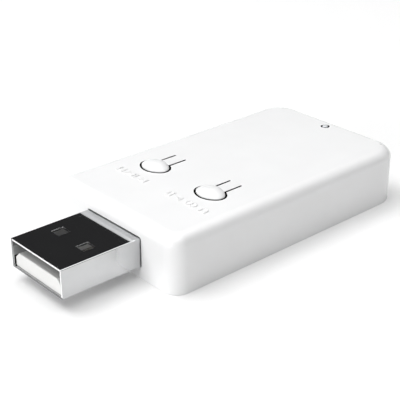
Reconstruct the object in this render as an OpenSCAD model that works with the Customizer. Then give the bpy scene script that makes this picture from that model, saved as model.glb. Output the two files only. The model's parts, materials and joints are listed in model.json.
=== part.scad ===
// Bluetooth audio receiver in the form of a USB stick: a flat housing on a USB-A plug, with
// two buttons on moulded tongues, a status light and a headphone jack in the rear face.
// Millimetres. +Z is up and the plug points along -Y. The origin is the middle of the whole
// object, on the surface that it lies on.

/* [Housing] */
// Width of the housing, along X
case_w = 27.4; // [27:0.1:30]
// Length of the housing, along Y
case_l = 47.9; // [47:0.1:54]
// Height of the housing
case_h = 8.9; // [8.8:0.1:9.6]
// Radius of the two vertical corners beside the plug
front_corner_r = 2.4; // [2.2:0.1:3.2]
// Radius of the two vertical corners at the rear
rear_corner_r = 4.3; // [3.4:0.1:4.6]
// Radius rolled along the top edge
top_edge_r = 1.8; // [1:0.1:1.9]
// Thickness of the housing's walls
wall = 1.2; // [1.1:0.05:1.3]
// Thickness of the base plate
base_t = 1.2; // [1:0.1:1.3]

/* [USB plug] */
// Width of the plug's metal shell
plug_w = 12; // [11.9:0.05:12.1]
// Height of the plug's metal shell
plug_h = 4.5; // [4.4:0.05:4.6]
// Length of the plug outside the housing
plug_l = 13.1; // [12:0.1:14]
// Offset of the plug from the housing's centreline
plug_x = 0.45; // [-0.5:0.05:0.5]
// Height of the plug's axis above the underside
plug_z = 4.2; // [4.2:0.05:4.3]
// Thickness of the plug's sheet metal
sheet_t = 0.3; // [0.25:0.05:0.35]
// How far the white tongue sits back from the mouth
tongue_recess = 0.25; // [0.05:0.05:0.5]

/* [Buttons and status light] */
// Offset of the buttons and the light from the housing's centreline
controls_x = -0.23; // [-0.4:0.01:0.2]
// Distance between the two button centres
button_pitch = 12.48; // [11.8:0.02:12.8]
// Distance of the button centres behind the housing's front face
button_setback = 13.4; // [13.2:0.1:14]
// Width of an oval button, along X
button_w = 5; // [4.6:0.1:5.2]
// Length of an oval button, along Y
button_l = 3.7; // [3.4:0.1:4]
// Height of a button's dome above the housing
dome_h = 0.85; // [0.7:0.05:1.1]
// Width of the gap round a button
button_gap = 0.3; // [0.2:0.02:0.4]
// Distance from a button's centre to the root of its tongue
tongue_l = 5.1; // [4.8:0.1:5.6]
// Width of a button's tongue
tongue_w = 2.06; // [1.8:0.02:2.4]
// Width of the slit on each side of a tongue
slit_w = 0.32; // [0.16:0.02:0.34]
// Height of the raised marks in front of the buttons
mark_h = 0.12; // [0.1:0.02:0.2]
// Radius of the status light's hole
light_r = 0.73; // [0.66:0.01:0.8]
// Distance of the status light behind the housing's front face
light_setback = 45; // [44.2:0.1:45.1]

/* [Headphone jack] */
// Offset of the headphone jack from the housing's centreline
jack_x = -5.5; // [-5.8:0.1:-5.2]
// Height of the jack's axis above the underside
jack_z = 4.45; // [4.4:0.05:4.5]
// Radius of the jack's bore, for a 3.5 mm plug
jack_bore_r = 1.8; // [1.78:0.01:1.85]

/* [Circuit board] */
// Height of the board's underside above the housing's underside
board_z = 2.4; // [2.4:0.05:2.5]
// Thickness of the board
board_t = 1; // [0.8:0.1:1]

/* [Hidden] */
$fn = 64;
eps = 0.05;
touch = 0.02;

tip_y = -(plug_l + case_l) / 2;
front_y = tip_y + plug_l;
rear_y = -tip_y;
half_w = case_w / 2;
inner_x = half_w - wall;
inner_front = front_y + wall;
inner_rear = rear_y - wall;
ceiling = case_h - wall;

rim_t = 0.8;
base_gap = 0.1;

shell_rear = tip_y + 18.6;
shell_bend = 0.15;
window_w = 1.9;
window_l = 2;
window_from_tip = 5.2;
window_x = 2.95;
contact_w = 1;
contact_t = 0.2;
contact_pitches = [-3.5, -1, 1, 3.5];
tongue_top = plug_z + 0.3;
block_front = tip_y + 11.6;
block_rear = shell_rear - 0.2;

play_x = controls_x - button_pitch / 2;
connect_x = controls_x + button_pitch / 2;
button_y = front_y + button_setback;
dome_r = 5.5;
tongue_t = 0.9;
root_z = case_h - tongue_t / 2;
post_r = 0.6;

board_top = board_z + board_t;
board_x = 11.4;
board_front = inner_front + 0.3;
board_rear = inner_rear - 0.4;
pin_spots = [[-9.8, -11], [9.8, -11], [-9.8, 11], [9.8, 11]];
pin_r = 0.6;
pin_post_r = 1.15;

switch_w = 3.4;
switch_l = 4.2;
switch_floor = board_top + 0.4;
switch_top = board_top + 1.6;
cover_t = 0.15;
snap_h = 0.45;
plunger_rise = 0.4;
press_gap = 0.05;
post_tip = switch_top + plunger_rise + press_gap;

light_y = front_y + light_setback;
pipe_r = light_r - 0.26;
pipe_foot_r = 1.1;
pipe_seat_r = 1.9;
pipe_shoulder = case_h - 2.2;
pipe_rise = 0.15;

jack_w = 6;
jack_h = 5;
jack_l = 13.4;
jack_front = rear_y - 1.3;
jack_rear = jack_front - jack_l;
jack_nose_r = 2.5;
jack_depth = 14;
spring_w = 1.2;
// Each spring contact: its side of the bore and its first Y
tip_spring = [1, jack_rear + 1.6];
ring_spring = [-1, jack_rear + 5];
sleeve_spring = [1, jack_rear + 8.4];

hook_spots = [-8, 19];
hook_w = 4;
hook_t = 0.75;
hook_z = 4.4;
hook_h = 0.7;
hook_reach = 0.35;

mark_size = 1.2;
mark_y = front_y + 8.9;

// ---- Shared shapes ----

// A box centred in X and Y, standing on z = 0
module block(w, l, h) {
    translate([-w / 2, -l / 2, 0]) cube([w, l, h]);
}

// Plan of the housing, drawn in by inset on every side
module plan(inset) {
    x = half_w - inset;
    y0 = front_y + inset;
    y1 = rear_y - inset;
    rf = max(front_corner_r - inset, 0.3);
    rr = max(rear_corner_r - inset, 0.3);
    translate([-x, y0 + rf]) square([2 * x, y1 - y0 - rf - rr]);
    translate([-x + rf, y0]) square([2 * (x - rf), y1 - y0 - rr]);
    translate([-x + rr, y0 + rf]) square([2 * (x - rr), y1 - y0 - rf]);
    for (side = [-1, 1]) {
        translate([side * (x - rf), y0 + rf]) circle(rf);
        translate([side * (x - rr), y1 - rr]) circle(rr);
    }
}

// One vertical corner of radius r, rounded over at the top
module rolled_corner(r) {
    rotate_extrude() {
        square([r - top_edge_r, top_edge_r]);
        intersection() {
            translate([r - top_edge_r, 0]) circle(top_edge_r);
            square([r, top_edge_r]);
        }
    }
}

// The housing's outside: straight sides and a rolled top edge
module housing_block() {
    f = top_edge_r;
    spring_z = case_h - f;
    side_l = case_l - front_corner_r - rear_corner_r;
    linear_extrude(spring_z) plan(0);
    translate([0, 0, spring_z]) linear_extrude(f) plan(f);
    intersection() {
        union() {
            for (side = [-1, 1]) {
                translate([side * (half_w - f), front_y + front_corner_r, spring_z])
                    rotate([-90, 0, 0]) cylinder(r = f, h = side_l);
            }
            translate([-half_w + front_corner_r, front_y + f, spring_z])
                rotate([0, 90, 0]) cylinder(r = f, h = case_w - 2 * front_corner_r);
            translate([-half_w + rear_corner_r, rear_y - f, spring_z])
                rotate([0, 90, 0]) cylinder(r = f, h = case_w - 2 * rear_corner_r);
        }
        translate([0, (front_y + rear_y) / 2, spring_z]) block(case_w + 1, case_l + 1, f + 1);
    }
    for (side = [-1, 1]) {
        translate([side * (half_w - front_corner_r), front_y + front_corner_r, spring_z])
            rolled_corner(front_corner_r);
        translate([side * (half_w - rear_corner_r), rear_y - rear_corner_r, spring_z])
            rolled_corner(rear_corner_r);
    }
}

// ---- Raised marks in front of the buttons, drawn one unit high ----

module mark_arrow(dir) {
    polygon([[-0.4 * dir, -0.5], [-0.4 * dir, 0.5], [0.45 * dir, 0]]);
}

module mark_bar(x) {
    translate([x - 0.1, -0.5]) square([0.2, 1]);
}

module mark_ring(r, t) {
    difference() {
        circle(r);
        circle(r - t);
    }
}

module mark_skip(dir) {
    mark_arrow(dir);
    mark_bar(0.6 * dir);
}

module mark_play_pause() {
    translate([-0.55, 0]) mark_arrow(1);
    mark_bar(0.3);
    mark_bar(0.75);
}

module mark_phone() {
    difference() {
        translate([-0.4, -0.6]) square([0.8, 1.2]);
        translate([-0.26, -0.3]) square([0.52, 0.76]);
    }
}

module mark_signal() {
    circle(0.14);
    intersection() {
        union() {
            mark_ring(0.45, 0.14);
            mark_ring(0.78, 0.14);
        }
        polygon([[0, 0], [1, 0.8], [1, -0.8]]);
    }
}

module mark_link() {
    for (side = [-1, 1]) translate([side * 0.36, 0]) mark_ring(0.5, 0.16);
}

module mark_headphones() {
    difference() {
        mark_ring(0.55, 0.14);
        translate([-1, -1]) square([2, 1]);
    }
    for (side = [-1, 1]) translate([side * 0.45 - 0.14, -0.5]) square([0.28, 0.56]);
}

module mark_row() {
    translate([play_x, mark_y, case_h - eps]) linear_extrude(mark_h + eps) {
        translate([-2.3, 0]) scale(mark_size) mark_skip(-1);
        scale(mark_size) mark_play_pause();
        translate([2.5, 0]) scale(mark_size) mark_skip(1);
    }
    translate([connect_x, mark_y, case_h - eps]) linear_extrude(mark_h + eps) {
        translate([-3.6, 0]) scale(mark_size) mark_phone();
        translate([-2, 0]) scale(mark_size) mark_signal();
        translate([0.9, 0]) scale(mark_size) mark_link();
        translate([3.6, 0]) scale(mark_size) mark_headphones();
    }
}

// ---- Housing ----

// Plan of a button: an oval of four arcs, grown by gap on every side
module oval(gap) {
    a = button_w / 2;
    b = button_l / 2;
    end_r = b * b / a;
    end_x = a - end_r;
    side_y = (end_x * end_x - (b - end_r) * (b - end_r)) / (2 * (b - end_r));
    side_r = b + side_y;
    join_x = end_x + (end_r + gap) * end_x / (side_r - end_r);
    intersection() {
        translate([0, -side_y]) circle(side_r + gap);
        translate([0, side_y]) circle(side_r + gap);
        square([2 * join_x, 2 * (b + gap)], center = true);
    }
    for (side = [-1, 1]) translate([side * end_x, 0]) circle(end_r + gap);
}

// Hole that a button and its tongue lie in, with a round seat for the tongue's root
module button_aperture() {
    w = tongue_w + 2 * slit_w;
    translate([0, 0, ceiling - 1]) linear_extrude(wall + 2) oval(button_gap);
    translate([-w / 2, 0, ceiling - 1]) cube([w, tongue_l, wall + 2]);
    translate([-w / 2, tongue_l, root_z])
        rotate([0, 90, 0]) cylinder(r = tongue_t / 2 + touch, h = w);
}

module top_shell() {
    color("white") {
        difference() {
            housing_block();
            translate([0, 0, base_t + base_gap]) linear_extrude(ceiling - base_t - base_gap) plan(wall);
            translate([0, 0, -1]) linear_extrude(base_t + base_gap + 1) plan(rim_t);
            translate([plug_x, front_y + wall / 2, plug_z - plug_h / 2 - 0.15])
                block(plug_w + 0.3, wall + 2, plug_h + 0.3);
            for (x = [play_x, connect_x]) translate([x, button_y, 0]) button_aperture();
            translate([controls_x, light_y, ceiling - 1]) cylinder(r = light_r, h = wall + 2);
            translate([jack_x, rear_y - wall - 1, jack_z])
                rotate([-90, 0, 0]) cylinder(r = jack_nose_r + 0.1, h = wall + 2);
            for (side = [-1, 1], y = hook_spots)
                translate([side * (inner_x + hook_reach / 2), y, hook_z - 0.1])
                    block(hook_reach + 0.2, hook_w + 0.3, hook_h + 0.2);
        }
        mark_row();
        for (spot = pin_spots) {
            difference() {
                translate([spot[0], spot[1], board_top + touch])
                    cylinder(r = pin_post_r, h = ceiling - board_top);
                translate([spot[0], spot[1], board_top - 1]) cylinder(r = pin_r + 0.1, h = 2.6);
            }
        }
        difference() {
            translate([controls_x, light_y, pipe_shoulder - 1.4])
                cylinder(r = pipe_seat_r, h = ceiling - pipe_shoulder + 1.5);
            translate([controls_x, light_y, pipe_shoulder - 2])
                cylinder(r = pipe_foot_r + touch, h = 2 + touch);
            translate([controls_x, light_y, pipe_shoulder - 1]) cylinder(r = light_r, h = 4);
        }
    }
}

module base_plate() {
    color("white") {
        linear_extrude(base_t) plan(rim_t + base_gap);
        for (side = [-1, 1], y = hook_spots) {
            translate([side * (inner_x - 0.1 - hook_t / 2), y, base_t - eps])
                block(hook_t, hook_w, hook_z + hook_h - base_t + eps);
            translate([side * (inner_x - 0.1 + hook_reach / 2), y, hook_z])
                block(hook_reach, hook_w, hook_h);
        }
        for (spot = pin_spots) {
            translate([spot[0], spot[1], base_t - eps])
                cylinder(r = pin_post_r, h = board_z - base_t + eps);
            translate([spot[0], spot[1], base_t]) cylinder(r = pin_r, h = board_top + 1 - base_t);
        }
        translate([plug_x, front_y + 4, base_t - eps])
            block(8, 3, plug_z - plug_h / 2 - base_t - touch + eps);
        for (y = [-6, 3, 13.5])
            translate([0, y, base_t - eps]) block(14, 0.9, board_z - base_t - touch + eps);
        for (x = [-2, 2])
            translate([jack_x + x, (jack_rear + jack_front) / 2, base_t - eps])
                block(0.9, jack_l - 3, jack_z - jack_h / 2 - base_t - touch + eps);
    }
}

// A domed oval button, its tongue and the post that reaches down to the switch
module button(x) {
    color("white") translate([x, button_y, 0]) {
        intersection() {
            translate([0, 0, case_h - tongue_t]) linear_extrude(tongue_t + dome_h) oval(0);
            translate([0, 0, case_h + dome_h - dome_r]) sphere(dome_r);
        }
        translate([-tongue_w / 2, 0, case_h - tongue_t]) cube([tongue_w, tongue_l, tongue_t]);
        translate([-tongue_w / 2, tongue_l, root_z])
            rotate([0, 90, 0]) cylinder(r = tongue_t / 2, h = tongue_w);
        translate([0, 0, post_tip + post_r])
            cylinder(r = post_r, h = case_h - tongue_t - post_tip - post_r + eps);
        translate([0, 0, post_tip + post_r]) sphere(post_r);
    }
}

module play_button() { button(play_x); }

module connect_button() { button(connect_x); }

module light_pipe() {
    cap_r = (pipe_r * pipe_r + pipe_rise * pipe_rise) / (2 * pipe_rise);
    color("gainsboro") translate([controls_x, light_y, 0]) {
        translate([0, 0, board_top + 1]) cylinder(r = pipe_foot_r, h = pipe_shoulder - board_top - 1);
        intersection() {
            translate([0, 0, pipe_shoulder - eps])
                cylinder(r = pipe_r, h = case_h + pipe_rise - pipe_shoulder + 1);
            union() {
                translate([0, 0, case_h + pipe_rise - cap_r]) sphere(cap_r);
                translate([0, 0, pipe_shoulder - 1])
                    cylinder(r = 2 * pipe_r, h = case_h - pipe_shoulder + 1);
            }
        }
    }
}

// ---- USB plug ----

// Section of the plug's sheet metal, w wide and h high, with corner radius r
module shell_section(w, h, r) {
    translate([-w / 2 + r, -h / 2]) square([w - 2 * r, h]);
    translate([-w / 2, -h / 2 + r]) square([w, h - 2 * r]);
    for (sx = [-1, 1], sz = [-1, 1])
        translate([sx * (w / 2 - r), sz * (h / 2 - r)]) circle(r);
}

// Extrudes a section drawn in X and Z along Y, from y0 to y1
module along_y(y0, y1) {
    translate([0, y1, 0]) rotate([90, 0, 0]) linear_extrude(y1 - y0) children();
}

module usb_shell() {
    inner_w = plug_w - 2 * sheet_t;
    inner_h = plug_h - 2 * sheet_t;
    color("silver") translate([plug_x, 0, plug_z]) {
        difference() {
            along_y(tip_y, shell_rear) shell_section(plug_w, plug_h, shell_bend);
            along_y(tip_y - 1, shell_rear + 1) square([inner_w, inner_h], center = true);
            for (side = [-1, 1])
                translate([side * window_x, tip_y + window_from_tip + window_l / 2, -plug_h])
                    block(window_w, window_l, 2 * plug_h);
        }
        for (side = [-1, 1])
            translate([side * (plug_w / 2 + 0.6), shell_rear - 1.6, board_top - plug_z])
                block(1.5, 1.8, sheet_t);
    }
}

module usb_insulator() {
    w = plug_w - 2 * sheet_t - 2 * touch;
    z0 = plug_z - plug_h / 2 + sheet_t + touch;
    bevel = 0.8;
    color("whitesmoke") translate([plug_x, 0, 0]) {
        difference() {
            union() {
                along_y(tip_y + tongue_recess, block_rear)
                    polygon([
                        [-w / 2, z0], [w / 2, z0], [w / 2, tongue_top - bevel],
                        [w / 2 - bevel, tongue_top], [-w / 2 + bevel, tongue_top],
                        [-w / 2, tongue_top - bevel],
                    ]);
                translate([0, (block_front + block_rear) / 2, z0])
                    block(w, block_rear - block_front, plug_h - 2 * sheet_t - 2 * touch);
            }
            for (x = contact_pitches)
                translate([x, 0, tongue_top - contact_t + eps - touch])
                    block(
                        contact_w + 2 * touch,
                        -2 * (tip_y + contact_start(x) - touch),
                        contact_t + 2 * touch
                    );
        }
    }
}

// The two outer contacts, power and ground, reach nearer the mouth than the data pair
function contact_start(x) = abs(x) > 2 ? 3 : 4;

module usb_contact(x) {
    y0 = tip_y + contact_start(x);
    z1 = tongue_top + eps;
    z0 = z1 - contact_t;
    heel = shell_rear + 0.8;
    color("gold") translate([plug_x + x + contact_w / 2, 0, 0]) rotate([90, 0, -90])
        linear_extrude(contact_w)
            polygon([
                [-y0, z0], [-y0, z1], [-heel, z1], [-heel, board_top + contact_t],
                [-heel - 1.4, board_top + contact_t], [-heel - 1.4, board_top],
                [-heel + contact_t, board_top], [-heel + contact_t, z0],
            ]);
}

module usb_power_contact() { usb_contact(contact_pitches[3]); }

module usb_data_minus_contact() { usb_contact(contact_pitches[2]); }

module usb_data_plus_contact() { usb_contact(contact_pitches[1]); }

module usb_ground_contact() { usb_contact(contact_pitches[0]); }

// ---- Circuit board ----

module circuit_board() {
    front_r = 1;
    rear_r = 2.2;
    jack_gap = 0.2;
    color("seagreen") difference() {
        translate([0, 0, board_z]) linear_extrude(board_t) {
            translate([-board_x, board_front + front_r])
                square([2 * board_x, board_rear - board_front - front_r - rear_r]);
            translate([-board_x + rear_r, board_front])
                square([2 * (board_x - rear_r), board_rear - board_front]);
            for (side = [-1, 1]) {
                translate([side * (board_x - front_r), board_front + front_r]) circle(front_r);
                translate([side * (board_x - rear_r), board_rear - rear_r]) circle(rear_r);
                translate([side * (board_x - rear_r) - 1.3, board_front]) square([2.6, 3]);
            }
        }
        translate([plug_x, board_front, board_z - 1])
            block(plug_w + 0.4, 2 * (shell_rear + 0.2 - board_front), board_t + 2);
        translate([jack_x, board_rear, board_z - 1])
            block(jack_w + 2 * jack_gap, 2 * (board_rear - jack_rear + jack_gap), board_t + 2);
        for (spot = pin_spots)
            translate([spot[0], spot[1], board_z - 1]) cylinder(r = pin_r + eps, h = board_t + 2);
    }
}

// ---- Push switches under the buttons ----

module switch_base(x) {
    color("dimgray") translate([x, button_y, board_top]) difference() {
        block(switch_w, switch_l, switch_top - cover_t - board_top);
        translate([0, 0, switch_floor - board_top]) cylinder(r = 1.45, h = 2);
    }
}

module switch_terminals(x) {
    color("silver") translate([x, button_y, board_top]) {
        for (sx = [-1, 1], sy = [-1, 1])
            translate([sx * 0.9, sy * (switch_l / 2 + 0.35), 0]) block(0.7, 0.7, 0.2);
    }
}

module snap_dome(x) {
    base_r = 1.4;
    t = 0.08;
    big_r = (base_r * base_r + snap_h * snap_h) / (2 * snap_h);
    color("silver") translate([x, button_y, switch_floor]) intersection() {
        difference() {
            translate([0, 0, snap_h - big_r]) sphere(big_r);
            translate([0, 0, snap_h - big_r]) sphere(big_r - t);
        }
        block(4, 4, 1);
    }
}

module plunger(x) {
    foot = switch_floor + snap_h + touch;
    stop = switch_top - cover_t - eps;
    color("black") translate([x, button_y, 0]) {
        translate([0, 0, foot]) cylinder(r = 0.55, h = stop - foot);
        translate([0, 0, stop - 0.3]) cylinder(r = 1.2, h = 0.3);
        translate([0, 0, stop - eps]) cylinder(r = 0.8, h = switch_top + plunger_rise - stop + eps);
    }
}

module switch_cover(x) {
    color("silver") translate([x, button_y, switch_top - cover_t]) difference() {
        union() {
            block(switch_w, switch_l, cover_t);
            for (side = [-1, 1])
                translate([side * (switch_w / 2 + cover_t / 2), 0, -0.8]) block(cover_t, 2, 0.8 + cover_t);
        }
        translate([0, 0, -1]) cylinder(r = 0.9, h = 2);
    }
}

module play_switch_base() { switch_base(play_x); }

module play_switch_terminals() { switch_terminals(play_x); }

module play_snap_dome() { snap_dome(play_x); }

module play_plunger() { plunger(play_x); }

module play_switch_cover() { switch_cover(play_x); }

module connect_switch_base() { switch_base(connect_x); }

module connect_switch_terminals() { switch_terminals(connect_x); }

module connect_snap_dome() { snap_dome(connect_x); }

module connect_plunger() { plunger(connect_x); }

module connect_switch_cover() { switch_cover(connect_x); }

// ---- Headphone jack ----

// Slot in the jack's side that a spring contact lies in
module spring_slot(spring) {
    translate([spring[0] * jack_w / 4, spring[1] + 2.1, -spring_w / 2 - 0.1])
        block(jack_w / 2 + 0.2, 4.4, spring_w + 0.2);
}

module jack_body() {
    color("#222222") translate([jack_x, 0, jack_z]) difference() {
        union() {
            translate([0, (jack_rear + jack_front) / 2, -jack_h / 2]) block(jack_w, jack_l, jack_h);
            translate([0, jack_front - 1, 0])
                rotate([-90, 0, 0]) cylinder(r = jack_nose_r, h = rear_y - jack_front + 1);
        }
        translate([0, rear_y - jack_depth, 0])
            rotate([-90, 0, 0]) cylinder(r = jack_bore_r, h = jack_depth + 1);
        for (spring = [tip_spring, ring_spring, sleeve_spring]) spring_slot(spring);
    }
}

// A bent leaf beside the bore, with a foot on the circuit board
module jack_contact(spring) {
    t = 0.2;
    outer = jack_w / 2 - 0.25;
    knee = 4;
    foot_x = jack_w / 2 + 0.7;
    drop = board_top - jack_z;
    color("gold") translate([jack_x, spring[1], jack_z]) mirror([spring[0] < 0 ? 1 : 0, 0, 0]) {
        translate([0, 0, -spring_w / 2]) linear_extrude(spring_w) {
            translate([outer - t, 0.2]) square([t, knee]);
            polygon([
                [outer, knee + 0.2], [outer - 0.5, knee + 0.2], [jack_bore_r - 0.15, 2.4],
                [jack_bore_r - 0.15, 1.8], [jack_bore_r + 0.3, 1.1], [jack_bore_r + 0.45, 1.25],
                [jack_bore_r + 0.05, 1.9], [jack_bore_r + 0.05, 2.3], [outer - 0.4, knee],
                [outer, knee],
            ]);
        }
        translate([outer - t, 1.2, -spring_w / 2]) cube([foot_x - outer + t, 1, t]);
        translate([foot_x - t, 1.2, drop]) cube([t, 1, -spring_w / 2 - drop + t]);
        translate([foot_x - t, 1.2, drop]) cube([1, 1, t]);
    }
}

module jack_tip_contact() { jack_contact(tip_spring); }

module jack_ring_contact() { jack_contact(ring_spring); }

module jack_sleeve_contact() { jack_contact(sleeve_spring); }

// ---- Parts on the board ----

// A moulded chip with a key dot, w by l and h high
module chip(w, l, h) {
    difference() {
        block(w, l, h);
        translate([-w / 2 + 0.7, l / 2 - 0.7, h - 0.05]) cylinder(r = 0.25, h = 1);
    }
}

// Gull-wing leads along both long sides, count on each side
module leads(w, pitch, count) {
    for (side = [-1, 1], i = [0 : count - 1])
        translate([side * (w / 2 + 0.3), (i - (count - 1) / 2) * pitch, 0]) block(0.6, pitch / 3, 0.2);
}

module bluetooth_chip() {
    color("#2b2b2e") translate([1.4, 7.2, board_top]) chip(6, 6, 0.85);
}

module flash_memory_chip() {
    color("#2b2b2e") translate([6.4, 18.6, board_top]) {
        chip(3.9, 4.9, 1.45);
        leads(3.9, 1.27, 4);
    }
}

module headphone_amplifier() {
    color("#2b2b2e") translate([-5.4, 9.4, board_top]) chip(4, 4, 0.8);
}

module voltage_regulator() {
    color("#2b2b2e") translate([0.4, -6.6, board_top]) {
        chip(1.6, 2.9, 1.1);
        leads(1.6, 0.95, 3);
    }
}

module crystal_oscillator() {
    color("silver") translate([7.4, 7.2, board_top]) {
        block(2.5, 3.2, 0.5);
        block(2.1, 2.8, 0.75);
    }
}

module power_inductor() {
    color("#4a4a4d") translate([0.4, -1.6, board_top]) {
        block(3, 3, 0.4);
        cylinder(r = 1.4, h = 1.4);
    }
}

module chip_antenna() {
    color("white") translate([7, 26.6, board_top]) block(5.2, 2, 1.1);
}

module status_led() {
    color("aliceblue") translate([controls_x, light_y, board_top]) {
        block(1.6, 0.8, 0.3);
        block(1, 0.8, 0.6);
    }
}

// A two-terminal part, l long, whose ends stand proud of its middle
module two_terminal(spot, l) {
    w = l / 2;
    translate([spot[0], spot[1], board_top]) rotate([0, 0, spot[2]]) {
        block(l - 0.2, w - 0.1, w * 0.9);
        for (side = [-1, 1]) translate([side * (l / 2 - 0.15), 0, 0]) block(0.3, w, w);
    }
}

// Each spot is X, Y and the turn about Z
module capacitors() {
    color("burlywood") {
        for (spot = [[-3.4, 3.4, 90], [3.8, 2.6, 0], [6.4, 3.4, 90], [-1.4, 12.6, 0]])
            two_terminal(spot, 1.6);
        for (spot = [[-9.2, 6.2, 90], [-9.2, 3.4, 90], [1.6, 13.2, 0], [9.7, 14.6, 90], [3.6, -8.6, 0]])
            two_terminal(spot, 2);
    }
}

module resistors() {
    color("#303034") {
        for (spot = [[-3.2, -8.4, 90], [4.4, 12.6, 0], [6.9, 12.6, 0], [9.9, 18, 90], [9.9, 20.4, 90]])
            two_terminal(spot, 1.2);
        for (spot = [[-9.8, -5, 90], [9.8, -5, 90], [-9.4, -0.6, 0], [9.4, -0.6, 0]])
            two_terminal(spot, 1.2);
    }
}

top_shell();
base_plate();
play_button();
connect_button();
light_pipe();
usb_shell();
usb_insulator();
usb_power_contact();
usb_data_minus_contact();
usb_data_plus_contact();
usb_ground_contact();
circuit_board();
play_switch_base();
play_switch_terminals();
play_snap_dome();
play_plunger();
play_switch_cover();
connect_switch_base();
connect_switch_terminals();
connect_snap_dome();
connect_plunger();
connect_switch_cover();
jack_body();
jack_tip_contact();
jack_ring_contact();
jack_sleeve_contact();
bluetooth_chip();
flash_memory_chip();
headphone_amplifier();
voltage_regulator();
crystal_oscillator();
power_inductor();
chip_antenna();
status_led();
capacitors();
resistors();
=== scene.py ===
"""Looks of the Bluetooth audio receiver: a white housing with two buttons on a USB-A plug.

Shapes are drawn in millimetres and brought to metres when a piece is finished. Places and overall
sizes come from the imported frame. Walls, gaps, openings, edge radii and surface detail are set here.
"""
import json
import math

import bpy
from mathutils import Matrix, Vector


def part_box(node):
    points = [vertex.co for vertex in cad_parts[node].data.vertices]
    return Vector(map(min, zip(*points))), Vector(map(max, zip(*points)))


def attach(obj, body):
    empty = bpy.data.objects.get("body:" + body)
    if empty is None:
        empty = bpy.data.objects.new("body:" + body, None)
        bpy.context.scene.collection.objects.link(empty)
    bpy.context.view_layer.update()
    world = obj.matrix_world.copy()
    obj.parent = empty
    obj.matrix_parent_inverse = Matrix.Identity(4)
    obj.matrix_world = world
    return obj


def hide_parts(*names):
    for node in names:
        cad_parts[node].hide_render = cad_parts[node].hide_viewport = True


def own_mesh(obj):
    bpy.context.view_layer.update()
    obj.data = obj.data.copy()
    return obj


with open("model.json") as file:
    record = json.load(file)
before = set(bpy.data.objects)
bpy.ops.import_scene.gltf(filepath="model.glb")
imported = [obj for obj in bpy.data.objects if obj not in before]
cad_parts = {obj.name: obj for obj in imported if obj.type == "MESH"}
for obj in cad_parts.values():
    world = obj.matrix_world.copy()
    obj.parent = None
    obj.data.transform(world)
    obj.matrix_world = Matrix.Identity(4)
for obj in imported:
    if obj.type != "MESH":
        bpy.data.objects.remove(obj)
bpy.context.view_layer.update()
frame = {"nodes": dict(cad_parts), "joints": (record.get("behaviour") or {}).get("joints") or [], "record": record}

MM = 0.001

# ---- Sizes in millimetres ----


def box(node):
    """Lowest and highest corners of a CAD node, in millimetres."""
    low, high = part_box(node)
    return low / MM, high / MM


MARK_H = 0.12
SHEET_T = 0.3
FIT_GAP = 0.02

shell_low, shell_high = box("top_shell")
insulator_low, insulator_high = box("usb_insulator")
plug_low, plug_high = box("usb_shell")
pipe_low, pipe_high = box("light_pipe")
jack_low, jack_high = box("jack_body")

FRONT_Y, REAR_Y = shell_low.y, shell_high.y
HALF_W = shell_high.x
TOP_Z = shell_high.z - MARK_H
WALL = 1.2
CEILING_Z = TOP_Z - WALL
RIM_T = 0.8
BASE_T = 1.2
BASE_GAP = 0.1
FRONT_CORNER_R = 2.4
REAR_CORNER_R = 4.3
TOP_EDGE_R = 1.8

PLUG_X = (insulator_low.x + insulator_high.x) / 2
PLUG_Z = (plug_low.z + plug_high.z) / 2
PLUG_W = insulator_high.x - insulator_low.x + 2 * (SHEET_T + FIT_GAP)
PLUG_H = plug_high.z - plug_low.z
TIP_Y = plug_low.y
PLUG_REAR_Y = plug_high.y
PLUG_CLEARANCE = 0.15
CONTACT_T = 0.2
INSULATOR_TOP = PLUG_Z + 0.3
BLOCK_FRONT = TIP_Y + 11.6

BUTTON_GAP = 0.3
TONGUE_W = 2.06
TONGUE_T = 0.9
SLIT_W = 0.32
SLIT_EDGE_R = 0.02
POST_R = 0.6
MARK_Y = FRONT_Y + 8.9
MARK_SIZE = 1.2
LIGHT_R = 0.73
LIGHT_X = (pipe_low.x + pipe_high.x) / 2
LIGHT_Y = (pipe_low.y + pipe_high.y) / 2
JACK_X = (jack_low.x + jack_high.x) / 2
JACK_Z = (jack_low.z + jack_high.z) / 2
JACK_H = 5.0
JACK_FRONT = REAR_Y - 1.3
JACK_NOSE_R = 2.5
JACK_CLEARANCE = 0.1
JACK_BORE_R = 1.8
JACK_DEPTH = 14.0

JOINTS = {joint["name"]: joint for joint in frame["joints"]}
# Each button: X and Y of its centre, and Y of its tongue's root
BUTTONS = {}
for side in ("play", "connect"):
    root = Vector(JOINTS[side + "_button_press"]["pos_m"]) / MM
    low, high = box(side + "_plunger")
    BUTTONS[side] = (root.x, (low.y + high.y) / 2, root.y)
button_low, button_high = box("play_button")
BUTTON_HALF_W = (button_high.x - button_low.x) / 2
BUTTON_HALF_L = BUTTONS["play"][1] - button_low.y

# ---- Outlines: lists of (x, y), counter-clockwise ----


def arc(x, y, r, start, end, steps):
    """Points on an arc, both ends included; angles in degrees."""
    angles = [math.radians(start + (end - start) * i / steps) for i in range(steps + 1)]
    return [(x + r * math.cos(a), y + r * math.sin(a)) for a in angles]


def rounded_rect(x0, y0, x1, y1, r, r_far=None, steps=8):
    """A rectangle with corner radius r, or r_far at its y1 end."""
    far = r if r_far is None else r_far
    return (
        arc(x0 + r, y0 + r, r, 180, 270, steps)
        + arc(x1 - r, y0 + r, r, 270, 360, steps)
        + arc(x1 - far, y1 - far, far, 0, 90, steps)
        + arc(x0 + far, y1 - far, far, 90, 180, steps)
    )


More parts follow.
